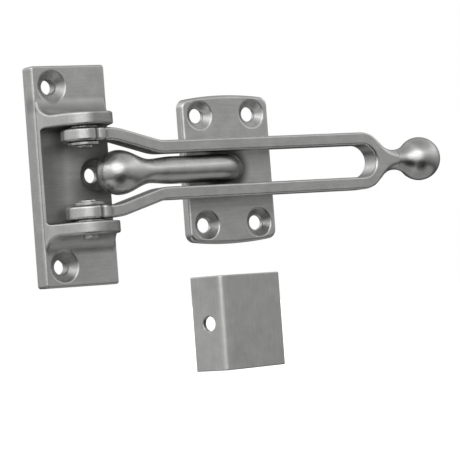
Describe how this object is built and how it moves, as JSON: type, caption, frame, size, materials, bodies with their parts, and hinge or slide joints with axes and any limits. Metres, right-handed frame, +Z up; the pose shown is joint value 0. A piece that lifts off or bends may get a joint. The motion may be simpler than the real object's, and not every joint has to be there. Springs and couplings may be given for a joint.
{
  "type": "swing bar door guard",
  "caption": "Door guard with a hinged forked swing bar ending in a ball, a hooked ball post on a strike plate, and a loose edge guard plate.",
  "frame": {"origin": "foot of the hinge axis on the back face of the hinge plate, halfway up the plate", "axes": "+Z up along the hinge axis, +X towards the ball end of the closed bar, -Y out of the wall into the room; all back faces lie in the plane Y = 0"},
  "size_m": [0.1609, 0.0245, 0.1092],
  "materials": {
    "hinge_casting": "satin nickel plate over a casting, fine horizontal brushing",
    "bar_casting": "satin nickel plate, brushed along the arms, polished ball",
    "hinge_pins": "satin nickel plate, riveted heads",
    "washers": "satin nickel plate",
    "strike_casting": "satin nickel plate over a casting, fine brushing",
    "post_casting": "satin nickel plate, smooth polished ball and post",
    "guard_sheet": "satin nickel plate over sheet, fine vertical brushing"
  },
  "bodies": {
    "base": {"hinge_plate": "hinge_casting", "upper_hinge_pin": "hinge_pins", "lower_hinge_pin": "hinge_pins", "upper_thrust_washer": "washers", "lower_thrust_washer": "washers", "upper_retaining_washer": "washers", "lower_retaining_washer": "washers", "strike_plate": "strike_casting", "ball_post": "post_casting", "edge_guard": "guard_sheet"},
    "swing_bar": {"swing_bar": "bar_casting"}
  },
  "joints": [
    {"name": "bar_swing", "type": "hinge", "parent": "base", "child": "swing_bar", "pos_m": [0, -0.0141, 0], "axis": [0, 0, -1], "range_deg": [0, 180]}
  ]
}
